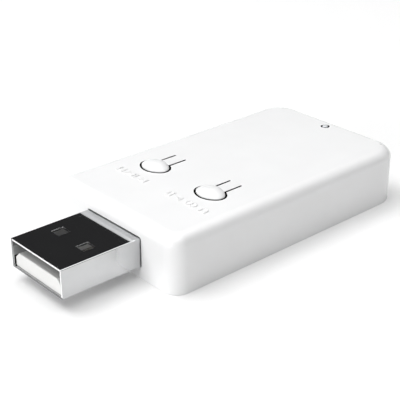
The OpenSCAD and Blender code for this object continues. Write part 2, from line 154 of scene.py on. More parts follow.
def oval(x, y, gap=0.0, gate=0.0):
    """A button's plan, four arcs grown by gap. A gate opens its far side to that half-width."""
    end_r = BUTTON_HALF_L ** 2 / BUTTON_HALF_W
    end_x = BUTTON_HALF_W - end_r
    flat = BUTTON_HALF_L - end_r
    side_y = (end_x ** 2 - flat ** 2) / (2 * flat)
    side_r = BUTTON_HALF_L + side_y + gap
    lean = math.degrees(math.atan2(side_y, end_x))
    post = math.degrees(math.acos(gate / side_r))
    points = arc(x, y - side_y, side_r, 180 - post, 180 - lean, 8)
    points += arc(x - end_x, y, end_r + gap, 180 - lean, 180 + lean, 18)[1:]
    points += arc(x, y + side_y, side_r, 180 + lean, 360 - lean, 22)[1:]
    points += arc(x + end_x, y, end_r + gap, -lean, lean, 18)[1:]
    points += arc(x, y - side_y, side_r, lean, post, 8)[1:]
    return points if gate else points[:-1]


def fillet(points, radii):
    """Rounds each corner of a polygon by its own radius."""
    steps = 4
    result = []
    count = len(points)
    for i, radius in enumerate(radii):
        here = Vector(points[i])
        before = (Vector(points[i - 1]) - here).normalized()
        after = (Vector(points[(i + 1) % count]) - here).normalized()
        half = before.angle(after) / 2
        reach = radius / math.tan(half)
        centre = here + (before + after).normalized() * radius / math.sin(half)
        start = here + before * reach - centre
        turn = start.angle_signed(here + after * reach - centre)
        for k in range(steps + 1):
            a = -turn * k / steps
            x = start.x * math.cos(a) - start.y * math.sin(a)
            y = start.x * math.sin(a) + start.y * math.cos(a)
            result.append((centre.x + x, centre.y + y))
    return result


def grown(points, distance, fixed=()):
    """A copy of an outline moved outwards by distance, except the points numbered in fixed."""
    result = []
    count = len(points)
    for i, point in enumerate(points):
        here = Vector(point)
        if i in fixed:
            result.append(point)
            continue
        before = (here - Vector(points[i - 1])).normalized()
        after = (Vector(points[(i + 1) % count]) - here).normalized()
        n0 = Vector((before.y, -before.x))
        n1 = Vector((after.y, -after.x))
        mitre = (n0 + n1) / (1 + n0.dot(n1))
        result.append(tuple(here + mitre * distance))
    return result


# ---- Solids ----


def roll(radius, steps=5):
    """A quarter-round edge as (inset, rise) pairs, from the side to the flat."""
    quarter = math.pi / 2
    return [
        (radius * (1 - math.cos(quarter * i / steps)), radius * math.sin(quarter * i / steps))
        for i in range(steps + 1)
    ]


def new_object(name, verts, faces):
    """A mesh object from corner points and faces."""
    mesh = bpy.data.meshes.new(name)
    mesh.from_pydata([tuple(v) for v in verts], [], faces)
    mesh.update()
    obj = bpy.data.objects.new(name, mesh)
    bpy.context.scene.collection.objects.link(obj)
    return obj


def loft(name, rings, ring_shaped=False):
    """A closed solid through rings of equal length. ring_shaped joins the last ring to the first."""
    count = len(rings[0])
    verts = [v for ring in rings for v in ring]
    faces = []
    for r in range(len(rings) - (0 if ring_shaped else 1)):
        a = r * count
        b = (r + 1) % len(rings) * count
        for i in range(count):
            j = (i + 1) % count
            faces.append((a + i, a + j, b + j, b + i))
    if not ring_shaped:
        faces.append(tuple(reversed(range(count))))
        faces.append(tuple(range(len(verts) - count, len(verts))))
    return new_object(name, verts, faces)


def level(outline, z):
    """An outline as points at height z."""
    return [(x, y, z) for x, y in outline]


def prism(name, outline, z0, z1, r0=0.0, r1=0.0, fixed=()):
    """An upright prism whose lower and upper edges are rounded by r0 and r1."""
    rings = []
    for inset, rise in reversed(roll(r0)) if r0 else [(0, 0)]:
        rings.append(level(grown(outline, -inset, fixed), z0 + r0 - rise))
    for inset, rise in roll(r1) if r1 else [(0, 0)]:
        rings.append(level(grown(outline, -inset, fixed), z1 - r1 + rise))
    return loft(name, rings)


def washer(name, outer, inner, z0, z1, r):
    """A flat ring between two outlines of equal length, with its upper edges rounded by r."""
    rings = [level(outer, z0)]
    rings += [level(grown(outer, -inset), z1 - r + rise) for inset, rise in roll(r, 3)]
    rings += [level(grown(inner, inset), z1 - r + rise) for inset, rise in reversed(roll(r, 3))]
    rings.append(level(inner, z0))
    return loft(name, rings, ring_shaped=True)


def flared_cutter(name, outline, z0, z1, r, fixed=()):
    """A cutter that leaves a rounded edge of radius r where it comes out at z1."""
    reach = 1.0
    rings = [level(outline, z0)]
    rings += [level(grown(outline, inset, fixed), z1 - r + rise) for inset, rise in roll(r)]
    rings.append(level(grown(outline, r, fixed), z1 + reach))
    return loft(name, rings)


def revolve(name, profile, x=0.0, y=0.0, steps=64):
    """Turns (radius, z) pairs about an upright axis. The profile starts and ends on the axis."""
    rings = []
    for radius, z in profile[1:-1]:
        rings.append([
            (x + radius * math.cos(2 * math.pi * i / steps),
             y + radius * math.sin(2 * math.pi * i / steps), z)
            for i in range(steps)
        ])
    verts = [(x, y, profile[0][1])] + [v for ring in rings for v in ring] + [(x, y, profile[-1][1])]
    faces = [(0, 1 + (i + 1) % steps, 1 + i) for i in range(steps)]
    for r in range(len(rings) - 1):
        a = 1 + r * steps
        for i in range(steps):
            j = (i + 1) % steps
            faces.append((a + i, a + j, a + steps + j, a + steps + i))
    last = 1 + (len(rings) - 1) * steps
    faces += [(last + i, last + (i + 1) % steps, len(verts) - 1) for i in range(steps)]
    return new_object(name, verts, faces)


def turned(obj, degrees, axis, move=(0, 0, 0)):
    """Turns a solid about an axis through the origin, then moves it."""
    obj.data.transform(Matrix.Translation(move) @ Matrix.Rotation(math.radians(degrees), 4, axis))
    return obj


def boolean(target, tool, operation):
    """Applies one boolean and removes the tool."""
    modifier = target.modifiers.new("boolean", "BOOLEAN")
    modifier.object = tool
    modifier.operation = operation
    modifier.solver = "EXACT"
    evaluated = target.evaluated_get(bpy.context.evaluated_depsgraph_get())
    mesh = bpy.data.meshes.new_from_object(evaluated)
    target.modifiers.clear()
    target.data = mesh
    bpy.data.objects.remove(tool)


def cut(target, *tools):
    """Takes each tool's space away from the target."""
    for tool in tools:
        boolean(target, tool, "DIFFERENCE")


def join(target, *tools):
    """Adds each tool's space to the target."""
    for tool in tools:
        boolean(target, tool, "UNION")


# ---- Materials ----

WHITE = (1, 1, 1, 1)
PRINT_TINT = (0.87, 0.87, 0.87, 1)
# Painted shade: near black for the walls inside the housing's openings
UNLIT_WALL = (0.012, 0.012, 0.012, 1)
# Painted shade on the plug's moulding: near-black sides and a darker top
UNLIT_SIDE = (0.01, 0.01, 0.01, 1)
SHADED_TOP = (0.1, 0.1, 0.1, 1)
# Painted shade on the plug metal's forward-facing edges, and a painted highlight on its lip
PAINTED_EDGE_SHADE = (0.25, 0.25, 0.26, 1)
PAINTED_LIP_HIGHLIGHT = (0.97, 0.97, 0.97, 1)
# Strength of a faint white glow painted onto the plug's moulding
PAINTED_GLOW = 0.06


class Nodes:
    """A short way to write a material's node tree."""

    def __init__(self, name):
        self.material = bpy.data.materials.new(name)
        self.material.use_nodes = True
        self.tree = self.material.node_tree
        self.shader = self.tree.nodes["Principled BSDF"]
        coordinates = self.add("ShaderNodeTexCoord").outputs
        self.place = coordinates["Object"]
        self.facing = self.add("ShaderNodeSeparateXYZ", {"Vector": coordinates["Normal"]}).outputs

    def add(self, kind, inputs=(), **settings):
        """A node whose inputs are each a value or another node's socket."""
        node = self.tree.nodes.new(kind)
        for key, value in settings.items():
            setattr(node, key, value)
        for key, value in dict(inputs).items():
            if isinstance(value, bpy.types.NodeSocket):
                self.tree.links.new(value, node.inputs[key])
            else:
                node.inputs[key].default_value = value
        return node

    def stretched(self, scale):
        """The object's own coordinates, scaled along X, Y and Z."""
        mapping = self.add("ShaderNodeMapping", {"Vector": self.place, "Scale": scale})
        return mapping.outputs["Vector"]

    def noise(self, size_mm, detail=3.0, roughness=0.5, vector=None):
        """Noise whose features are about size_mm across."""
        inputs = {
            "Vector": vector or self.place, "Scale": 1 / (size_mm * MM),
            "Detail": detail, "Roughness": roughness,
        }
        return self.add("ShaderNodeTexNoise", inputs).outputs["Fac"]

    def span(self, value, low, high, start=0.3, end=0.7):
        """A value that goes from low to high as the input goes from start to end."""
        inputs = {"Value": value, "From Min": start, "From Max": end, "To Min": low, "To Max": high}
        return self.add("ShaderNodeMapRange", inputs).outputs["Result"]

    def shades(self, value, dark, light, start=0.3, end=0.7):
        """A colour that goes from dark to light as the input goes from start to end."""
        ramp = self.add("ShaderNodeValToRGB", {"Fac": value})
        for element, position, colour in zip(ramp.color_ramp.elements, (start, end), (dark, light)):
            element.position = position
            element.color = (*colour, 1)
        return ramp.outputs["Color"]

    def math(self, operation, a, b=0.0):
        """The result of one arithmetic operation."""
        return self.add("ShaderNodeMath", {0: a, 1: b}, operation=operation).outputs["Value"]

    def blend(self, share, a, b):
        """Colour a turning into b as share goes from 0 to 1."""
        return self.add("ShaderNodeMix", {0: share, 6: a, 7: b}, data_type="RGBA").outputs[2]

    def inside(self, low, high, fade_mm=0.04):
        """0 outside the box from low to high in millimetres, rising to 1 at fade_mm inside it."""
        centre = [(a + b) / 2 * MM for a, b in zip(low, high)]
        half = [(b - a) / 2 * MM for a, b in zip(low, high)]
        away = self.vector("SUBTRACT", self.place, centre)
        past = self.vector("SUBTRACT", self.vector("ABSOLUTE", away), half)
        axes = self.add("ShaderNodeSeparateXYZ", {"Vector": past}).outputs
        furthest = self.math("MAXIMUM", self.math("MAXIMUM", axes["X"], axes["Y"]), axes["Z"])
        return self.span(furthest, 1.0, 0.0, -fade_mm * MM, 0.0)

    def vector(self, operation, a, b=(0, 0, 0)):
        """The result of one operation on vectors."""
        node = self.add("ShaderNodeVectorMath", {0: a, 1: b}, operation=operation)
        return node.outputs["Vector"]

    def bump(self, height, depth_mm, normal=None):
        """A normal roughened by a height of up to depth_mm, on top of another normal if given."""
        inputs = {"Height": height, "Distance": depth_mm * MM, "Strength": 1.0}
        if normal:
            inputs["Normal"] = normal
        return self.add("ShaderNodeBump", inputs).outputs["Normal"]

    def set(self, **inputs):
        """Sets the shader's inputs, each to a value or a socket, and returns the material."""
        for key, value in inputs.items():
            socket = self.shader.inputs[key.replace("_", " ")]
            if isinstance(value, bpy.types.NodeSocket):
                self.tree.links.new(value, socket)
            else:
                socket.default_value = value
        return self.material


def moulded(name, dark, light, roughness, grain_mm, grain_depth, ripple_depth=0.0,
            well=None, print_area=None):
    """Moulded plastic: a fine spark grain over long, shallow ripples, in slightly varied colour.

    A well is the low and high corner of a space inside, whose walls are painted black as shade.
    What stands up into the print area, also two corners, is tinted a shade darker.
    """
    n = Nodes(name)
    cloud = n.noise(6.0, detail=2.0)
    grain = n.noise(grain_mm, detail=2.0, roughness=0.6)
    normal = n.bump(grain, grain_depth)
    if ripple_depth:
        normal = n.bump(n.noise(4.0, detail=1.0), ripple_depth, normal=normal)
    colour = n.shades(cloud, dark, light)
    if print_area:
        colour = n.blend(n.inside(*print_area, fade_mm=0.02), colour, PRINT_TINT)
    if well:
        # Painted shade: the walls inside the well are coloured near black
        colour = n.blend(n.inside(*well), colour, UNLIT_WALL)
    n.set(Base_Color=colour, Normal=normal)
    return n.set(Roughness=n.span(grain, roughness - 0.04, roughness + 0.04), IOR=1.5)


def connector_plastic(name, dark, light):
    """Moulding with painted light: a faint painted glow, its top painted in shade and its sides painted black as
    shade.
    """
    n = Nodes(name)
    grain = n.noise(0.1, detail=2.0, roughness=0.6)
    # Painted shade: the top is darkened and the sides turn near black
    top = n.span(n.facing["Z"], 0.0, 0.45, 0.8, 0.98)
    side = n.span(n.math("ABSOLUTE", n.facing["X"]), 0.0, 1.0, 0.75, 0.9)
    shaded = n.blend(top, n.shades(n.noise(4.0), dark, light), SHADED_TOP)
    n.set(Base_Color=n.blend(side, shaded, UNLIT_SIDE), Emission_Color=WHITE)
    # Painted glow everywhere but on the sides
    n.set(Emission_Strength=n.span(side, PAINTED_GLOW, 0.0, 0, 1), Normal=n.bump(grain, 0.002))
    return n.set(Roughness=n.span(grain, 0.36, 0.44), IOR=1.5)


def bright_metal(name, dark, light, roughness, streak_depth):
    """Rolled and plated sheet: faint streaks along Y.

    Edges that face forwards are painted dark as shade, but painted white as a highlight at the top and right of
    the plug's mouth.
    """
    n = Nodes(name)
    streaks = n.noise(0.12, detail=4.0, vector=n.stretched((1.0, 0.04, 1.0)))
    cloud = n.noise(3.0, detail=3.0)
    normal = n.bump(streaks, streak_depth)
    mouth = n.inside((PLUG_X - PLUG_W / 2 + SHEET_T, TIP_Y - 1, PLUG_Z - PLUG_H / 2 + SHEET_T),
                     (PLUG_X + PLUG_W, TIP_Y + 0.5, PLUG_Z + PLUG_H))
    # Forward-facing edges get painted shade; the top and right of the mouth's lip get a painted white highlight
    edge = n.span(n.facing["Y"], 1.0, 0.0, -0.9, -0.5)
    lip = n.math("MULTIPLY", mouth, edge)
    colour = n.blend(edge, n.shades(cloud, dark, light), PAINTED_EDGE_SHADE)
    n.set(Base_Color=n.blend(lip, colour, PAINTED_LIP_HIGHLIGHT), Normal=normal)
    return n.set(Roughness=n.span(streaks, roughness * 0.7, roughness * 1.3),
                 Metallic=n.span(lip, 1.0, 0.2, 0, 1))


def stamped_metal(name, dark, light, roughness):
    """Small stamped parts: fine tumbled scratches in every direction."""
    n = Nodes(name)
    scratches = n.noise(0.06, detail=5.0, roughness=0.7)
    n.set(Base_Color=n.shades(n.noise(0.8), dark, light), Metallic=1.0)
    return n.set(Roughness=n.span(scratches, roughness - 0.08, roughness + 0.08),
                 Normal=n.bump(scratches, 0.002))


def board_mask(name):
    """Solder mask over copper tracks: raised, lighter lanes in a dark green coat."""
    n = Nodes(name)
    lanes = n.add("ShaderNodeTexBrick", {
        "Vector": n.place, "Scale": 1.0, "Mortar Size": 0.1 * MM,
        "Brick Width": 3.4 * MM, "Row Height": 0.7 * MM, "Mortar Smooth": 0.2,
    }).outputs["Fac"]
    weave = n.noise(0.25, detail=2.0)
    colour = n.shades(lanes, (0.008, 0.12, 0.035), (0.02, 0.2, 0.07), 0.2, 0.8)
    normal = n.bump(weave, 0.004, normal=n.bump(lanes, 0.03))
    n.set(Base_Color=colour, Normal=normal)
    return n.set(Roughness=n.span(weave, 0.22, 0.36))


def ceramic(name, dark, light, roughness):
    """Sintered bodies of small parts: matt, with a fine speckle."""
    n = Nodes(name)
    speckle = n.noise(0.08, detail=4.0, roughness=0.7)
    n.set(Base_Color=n.shades(speckle, dark, light), Normal=n.bump(speckle, 0.004))
    return n.set(Roughness=n.span(speckle, roughness - 0.08, roughness + 0.08))


def frosted_lens(name):
    """Clear acrylic with a frosted end."""
    n = Nodes(name)
    frost = n.noise(0.07, detail=3.0)
    n.set(Base_Color=n.shades(frost, (0.62, 0.64, 0.66), (0.74, 0.75, 0.77)), IOR=1.49)
    return n.set(Roughness=n.span(frost, 0.22, 0.4), Normal=n.bump(frost, 0.004),
                 Subsurface_Weight=0.35, Subsurface_Radius=(0.6 * MM, 0.6 * MM, 0.6 * MM))


# Corners of the space under the roof, whose walls are painted black as shade, and of the strip that the marks
# stand on
BAY = ((-11, FRONT_Y + 9.4, 2), (11, REAR_Y - 1.9, TOP_Z))
MARK_STRIP = ((-12, MARK_Y - 1.5, TOP_Z), (12, MARK_Y + 1.5, TOP_Z + 1))

MATERIALS = {
    "housing_white": moulded(
        "housing_white", (0.905, 0.907, 0.91), (0.925, 0.927, 0.93), 0.22, 0.16, 0.0006, 0.002,
        well=BAY, print_area=MARK_STRIP),
    "plug_metal": bright_metal("plug_metal", (0.55, 0.555, 0.56), (0.58, 0.585, 0.59), 0.05, 0.0004),
    "insulator_white": connector_plastic("insulator_white", (0.7, 0.7, 0.69), (0.76, 0.76, 0.75)),
    "contact_plating": stamped_metal("contact_plating", (0.66, 0.64, 0.58), (0.76, 0.74, 0.68), 0.2),
    "board_green": board_mask("board_green"),
    "switch_black": moulded(
        "switch_black", (0.012, 0.012, 0.013), (0.03, 0.03, 0.032), 0.5, 0.08, 0.003),
    "switch_steel": stamped_metal("switch_steel", (0.56, 0.57, 0.58), (0.66, 0.67, 0.68), 0.28),
    "chip_black": moulded("chip_black", (0.015, 0.015, 0.017), (0.03, 0.03, 0.033), 0.55, 0.05, 0.004),
    "jack_black": moulded("jack_black", (0.014, 0.014, 0.015), (0.026, 0.026, 0.028), 0.42, 0.09, 0.002),
    "light_guide": frosted_lens("light_guide"),
    "inductor_grey": ceramic("inductor_grey", (0.06, 0.06, 0.065), (0.1, 0.1, 0.105), 0.6),
    "antenna_ceramic": ceramic("antenna_ceramic", (0.74, 0.75, 0.73), (0.84, 0.85, 0.83), 0.5),
    "led_lens": ceramic("led_lens", (0.8, 0.82, 0.84), (0.88, 0.9, 0.92), 0.25),
    "capacitor_tan": ceramic("capacitor_tan", (0.36, 0.24, 0.14), (0.46, 0.33, 0.2), 0.45),
    "resistor_black": ceramic("resistor_black", (0.02, 0.02, 0.022), (0.05, 0.05, 0.053), 0.4),
}

for part in frame["record"]["subparts"]:
    data = frame["nodes"][part["node"]].data
    data.materials.clear()
    data.materials.append(MATERIALS[part["material_slot"]])

# Faces that meet at more than this many degrees keep a crisp edge
SHARP_ANGLE = 32


def piece(obj, slot, body, node):
    """Finishes a solid that replaces a CAD node: metres, crisp edges, material and body."""
    mesh = obj.data
    mesh.transform(Matrix.Scale(MM, 4))
    mesh.materials.clear()
    mesh.materials.append(MATERIALS[slot])
    mesh.shade_smooth()
    mesh.set_sharp_from_angle(angle=math.radians(SHARP_ANGLE))
    weighted = obj.modifiers.new("weighted_normals", "WEIGHTED_NORMAL")
    weighted.keep_sharp = True
    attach(obj, body)
    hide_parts(node)


# ---- Housing ----

CORNER_STEPS = 20


def plan(inset):
    """The housing's outline, drawn in by inset on every side."""
    least_r = 0.2
    return rounded_rect(
        -HALF_W + inset, FRONT_Y + inset, HALF_W - inset, REAR_Y - inset,
        max(FRONT_CORNER_R - inset, least_r), max(REAR_CORNER_R - inset, least_r), CORNER_STEPS,
    )


def housing_body():
    """The open tub: ceiling, inner wall, rebate, rim, outer wall and rolled top edge."""
    rim_r = 0.12
    step_z = BASE_T + BASE_GAP
    cove_r = 0.5
    profile = [(WALL + inset, CEILING_Z - cove_r + rise) for inset, rise in reversed(roll(cove_r))]
    profile += [(WALL, step_z), (RIM_T, step_z), (RIM_T, rim_r)]
    profile += [(RIM_T - inset, rim_r - rise) for inset, rise in roll(rim_r, 3)[1:]]
    profile += [(inset, rim_r - rise) for inset, rise in reversed(roll(rim_r, 3))]
    profile += [(inset, TOP_Z - TOP_EDGE_R + rise) for inset, rise in roll(TOP_EDGE_R, 20)]
    return loft("housing_top", [level(plan(inset), z) for inset, z in profile])


def aperture_outline(x, y, root_y):
    """Oval gap with a slit on each side of the tongue; returns it with its hinge-line points."""
    inner = TONGUE_W / 2
    tip_r = SLIT_W / 2
    points = oval(x, y, BUTTON_GAP, gate=inner + SLIT_W)
    points += arc(x + inner + tip_r, root_y - tip_r, tip_r, 0, 90, 4)
    first = len(points)
    points += [(x + inner, root_y), (x - inner, root_y)]
    points += arc(x - inner - tip_r, root_y - tip_r, tip_r, 90, 180, 4)
    return points, (first, first + 1)


def half_ring(r, t, start, end):
    """Outline of part of a ring of outer radius r and thickness t."""
    return arc(0, 0, r, start, end, 16) + arc(0, 0, r - t, end, start, 16)


def bar(x, y, w, h):
    """Outline of a rectangle of width w and height h about (x, y)."""
    x0, y0, x1, y1 = x - w / 2, y - h / 2, x + w / 2, y + h / 2
    return [(x0, y0), (x1, y0), (x1, y1), (x0, y1)]


def arrow(x, way):
    """Outline of an arrow head; way is 1 to point along +X and -1 to point back."""
    tip, back = (x + 0.45 * way, 0), x - 0.4 * way
    return [(back, -0.5 * way), tip, (back, 0.5 * way)]


# Each mark is a list of plain outlines, and a list of rings as pairs of outer and inner outlines


def skip_mark(way):
    return [arrow(0, way), bar(0.6 * way, 0, 0.2, 1)], []


def play_pause_mark():
    return [arrow(-0.55, 1), bar(0.3, 0, 0.2, 1), bar(0.75, 0, 0.2, 1)], []


def phone_mark():
    return [], [(bar(0, 0, 0.8, 1.2), bar(0, 0.08, 0.52, 0.76))]


def signal_mark():
    return [arc(0, 0, 0.14, 0, 345, 23)] + [half_ring(r, 0.14, -38, 38) for r in (0.45, 0.78)], []


def link_mark():
    return [], [(arc(x, 0, 0.5, 0, 352.5, 47), arc(x, 0, 0.34, 0, 352.5, 47)) for x in (-0.36, 0.36)]


def headphones_mark():
    pads = [bar(x, -0.22, 0.28, 0.56) for x in (-0.45, 0.45)]
    return pads + [half_ring(0.55, 0.14, 0, 180)], []


MARK_ROWS = {
    "play": [(-2.3, skip_mark(-1)), (0, play_pause_mark()), (2.5, skip_mark(1))],
    "connect": [
        (-3.6, phone_mark()), (-2.0, signal_mark()), (0.9, link_mark()), (3.6, headphones_mark()),
    ],
}


def mark_solids():
    """Small raised signs in front of each button, with softened edges and feet in the roof."""
    edge_r = 0.035
    sunk = 0.2
    z0, z1 = TOP_Z - sunk, TOP_Z + MARK_H
    solids = []
    for side, row in MARK_ROWS.items():
        for offset, (plain, ringed) in row:
            def placed(outline):
                x0 = BUTTONS[side][0] + offset
                return [(x0 + x * MARK_SIZE, MARK_Y + y * MARK_SIZE) for x, y in outline]
            for outline in plain:
                solids.append(prism("mark", placed(outline), z0, z1, 0, edge_r))
            for outer, inner in ringed:
                solids.append(washer("mark", placed(outer), placed(inner), z0, z1, edge_r))
    return solids


def make_top_shell():
    """The tub with its openings for buttons, light, plug and jack, and the marks on its roof."""
    edge_r = 0.05
    mouth_r = 0.4
    shell = housing_body()
    cutters = []
    for x, y, root_y in BUTTONS.values():
        outline, hinge_line = aperture_outline(x, y, root_y)
        cutters.append(flared_cutter("aperture", outline, CEILING_Z - 1, TOP_Z, SLIT_EDGE_R, hinge_line))
    light = arc(LIGHT_X, LIGHT_Y, LIGHT_R, 0, 352.5, 47)
    cutters.append(flared_cutter("light_hole", light, CEILING_Z - 1, TOP_Z, edge_r))
    mouth = rounded_rect(
        PLUG_X - PLUG_W / 2 - PLUG_CLEARANCE, PLUG_Z - PLUG_H / 2 - PLUG_CLEARANCE,
        PLUG_X + PLUG_W / 2 + PLUG_CLEARANCE, PLUG_Z + PLUG_H / 2 + PLUG_CLEARANCE, mouth_r,
    )
    plug_hole = flared_cutter("plug_hole", mouth, -FRONT_Y - WALL - 1, -FRONT_Y, edge_r)
    cutters.append(turned(plug_hole, 90, "X"))
    nose = arc(-JACK_X, JACK_Z, JACK_NOSE_R + JACK_CLEARANCE, 0, 354, 59)
    jack_hole = flared_cutter("jack_hole", nose, REAR_Y - WALL - 1, REAR_Y, edge_r)
    cutters.append(turned(turned(jack_hole, 90, "X"), 180, "Z"))
    cut(shell, *cutters)
    join(shell, *mark_solids())
    piece(shell, "housing_white", "housing", "top_shell")


make_top_shell()


def crown(x, y, dome_h):
    """Rings of a full-flanked dome: low over the ends of the oval, with a softly rounded rim."""
    fall = 1 / 11
    steps = 22
    outline = oval(x, y)
    rings = [level(outline, TOP_Z - TONGUE_T), level(outline, TOP_Z)]
    for i in range(1, steps + 1):
        size = 1 - (i / (steps + 0.5)) ** 2
        swell = math.sqrt(1 - size ** 5)
        rings.append([
            (x + (px - x) * size, y + (py - y) * size,
             TOP_Z + swell * (dome_h - fall * size ** 2 * ((px - x) ** 2 + (py - y) ** 2)))
            for px, py in outline
        ])
    return rings


def make_button(side):
    """A dome with its switch post, on a tongue flush with the housing."""
    x, y, root_y = BUTTONS[side]
    low, high = box(side + "_button")
    under = TOP_Z - TONGUE_T
    post_top = under + 0.2
    button = loft(side + "_button_dome", crown(x, y, high.z - TOP_Z))
    profile = [(0, low.z)]
    profile += [(POST_R * math.sin(a), low.z + POST_R * (1 - math.cos(a)))
                for a in [math.radians(15 * i) for i in range(1, 7)]]
    profile += [(POST_R, post_top), (0, post_top)]
    outline = bar(x, (y + root_y) / 2, TONGUE_W, root_y - y)
    tongue = prism("tongue", outline, under, TOP_Z, 0, SLIT_EDGE_R, fixed=(2, 3))
    join(button, tongue, revolve("post", profile, x, y, 48))
    piece(button, "housing_white", side + "_button", side + "_button")


def make_snap_dome(side):
    """The sprung disc in a switch, which its plunger presses flatter."""
    low, high = box(side + "_snap_dome")
    rise, base_r = high.z - low.z, (high.x - low.x) / 2
    thickness = 0.08
    steps = 12
    outer_r = (base_r ** 2 + rise ** 2) / (2 * rise)
    x, y, z = (low.x + high.x) / 2, (low.y + high.y) / 2, high.z - outer_r

    def cap(r):
        lean = math.acos((low.z - z) / r)
        angles = [lean * i / steps for i in range(steps + 1)]
        return [(r * math.sin(a), z + r * math.cos(a)) for a in angles]

    profile = cap(outer_r - thickness) + cap(outer_r)[::-1]
    disc = revolve(side + "_snap_disc", profile, x, y, 48)
    piece(disc, "switch_steel", "housing", side + "_snap_dome")
    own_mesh(disc)


for side in BUTTONS:
    make_button(side)
    make_snap_dome(side)


def make_light_pipe():
    """A clear rod with a wide foot over the light, and a small raised lens at the top."""
    foot_r, rod_r = 1.1, LIGHT_R - 0.26
    shoulder = TOP_Z - 2.2
    foot_edge, shoulder_edge = 0.15, 0.1
    rise = pipe_high.z - TOP_Z
    profile = [(0, pipe_low.z), (foot_r - foot_edge, pipe_low.z), (foot_r, pipe_low.z + foot_edge)]
    profile += [(foot_r, shoulder - shoulder_edge), (foot_r - shoulder_edge, shoulder)]
    profile.append((rod_r, shoulder))
    profile += [(rod_r * math.cos(a), TOP_Z + rise * math.sin(a))
                for a in [math.radians(7.5 * i) for i in range(12)]]
    profile.append((0, pipe_high.z))
    rod = revolve("light_rod", profile, LIGHT_X, LIGHT_Y, 48)
    piece(rod, "light_guide", "housing", "light_pipe")


make_light_pipe()

# ---- USB plug ----


def along_y(ring, y):
    """An outline in X and Z as points at Y."""
    return [(x, y, z) for x, z in ring]


def make_plug_shell():
    """Folded sheet: outer and inner skins joined by rounded lips, two windows above and below."""
    x0, x1 = PLUG_X - PLUG_W / 2, PLUG_X + PLUG_W / 2
    z0, z1 = PLUG_Z - PLUG_H / 2, PLUG_Z + PLUG_H / 2
    bend, least_bend = 0.15, 0.08
    lip = 0.06

    def section(inset):
        r = max(bend - inset, least_bend)
        return rounded_rect(x0 + inset, z0 + inset, x1 - inset, z1 - inset, r)

    path = [(0, PLUG_REAR_Y)]
    path += [(inset, TIP_Y + lip - rise) for inset, rise in roll(lip)]
    path += [(SHEET_T - inset, TIP_Y + lip - rise) for inset, rise in reversed(roll(lip))]
    path.append((SHEET_T, PLUG_REAR_Y))
    shell = loft("plug_shell", [along_y(section(inset), y) for inset, y in path], ring_shaped=True)
    window_w, window_l = 1.9, 2.0
    window_x, window_y = 2.95, TIP_Y + 5.2 + window_l / 2
    corner_r, edge_r = 0.1, 0.02
    for sx in (-1, 1):
        outline = rounded_rect(
            PLUG_X + sx * window_x - window_w / 2, window_y - window_l / 2,
            PLUG_X + sx * window_x + window_w / 2, window_y + window_l / 2, corner_r, steps=4)
        mirrored = [(x, -y) for x, y in reversed(outline)]
        cut(shell, flared_cutter("window", outline, PLUG_Z, z1, edge_r))
        cut(shell, turned(flared_cutter("window", mirrored, -PLUG_Z, -z0, edge_r), 180, "X"))
    piece(shell, "plug_metal", "housing", "usb_shell")


make_plug_shell()

CONTACTS = (
    "usb_ground_contact", "usb_data_plus_contact", "usb_data_minus_contact", "usb_power_contact",
)


def make_insulator():
    """The tongue with bevelled upper edges, the block behind it, and grooves for the contacts."""
    x0, x1 = insulator_low.x, insulator_high.x
    z0 = insulator_low.z
    bevel = 0.9
    side_gap = 0.2
    left, right = x0 + side_gap, x1 - side_gap
    lower_r, bevel_r, nose_r = 0.12, 0.2, 0.12
    block_r, block_nose_r = 0.1, 0.05
    section = fillet([
        (left, z0), (right, z0), (right, INSULATOR_TOP - bevel), (right - bevel, INSULATOR_TOP),
        (left + bevel, INSULATOR_TOP), (left, INSULATOR_TOP - bevel),
    ], (lower_r, lower_r, bevel_r, bevel_r, bevel_r, bevel_r))
    tongue = prism("plug_tongue", section, -insulator_high.y, -insulator_low.y, 0, nose_r)
    # The block's floor is a hair lower than the tongue's, so that no two faces coincide
    block_section = rounded_rect(x0, z0 - 0.001, x1, insulator_high.z, block_r, steps=3)
    block = prism("block", block_section, -insulator_high.y, -BLOCK_FRONT, 0, block_nose_r)
    turned(tongue, 90, "X")
    join(tongue, turned(block, 90, "X"))
    for name in CONTACTS:
        low, high = box(name)
        start = low.y - FIT_GAP
        groove = bar((low.x + high.x) / 2, start / 2, high.x - low.x + 2 * FIT_GAP, -start)
        cut(tongue, prism("groove", groove, high.z - CONTACT_T - FIT_GAP, high.z + 0.1))
    piece(tongue, "insulator_white", "housing", "usb_insulator")


def make_contact(name):
    """One spring strip: a rounded nose, a flat run and a heel soldered to the board."""
    low, high = box(name)
    t = CONTACT_T
    heel = PLUG_REAR_Y + 0.8
    side_view = [
        (low.y, high.z - t), (heel - t, high.z - t), (heel - t, low.z),
        (high.y, low.z), (high.y, low.z + t), (heel, low.z + t), (heel, high.z), (low.y, high.z),
    ]
    side_view = fillet(side_view, (0.08, 0.1, 0.12, 0.04, 0.04, 0.1, 0.25, 0.08))
    strip = prism(name + "_strip", side_view, low.x, high.x, 0.04, 0.04)
    strip.data.transform(Matrix(((0, 0, 1, 0), (1, 0, 0, 0), (0, 1, 0, 0), (0, 0, 0, 1))))
    piece(strip, "contact_plating", "housing", name)


make_insulator()
for name in CONTACTS:
    make_contact(name)

# ---- Headphone jack ----


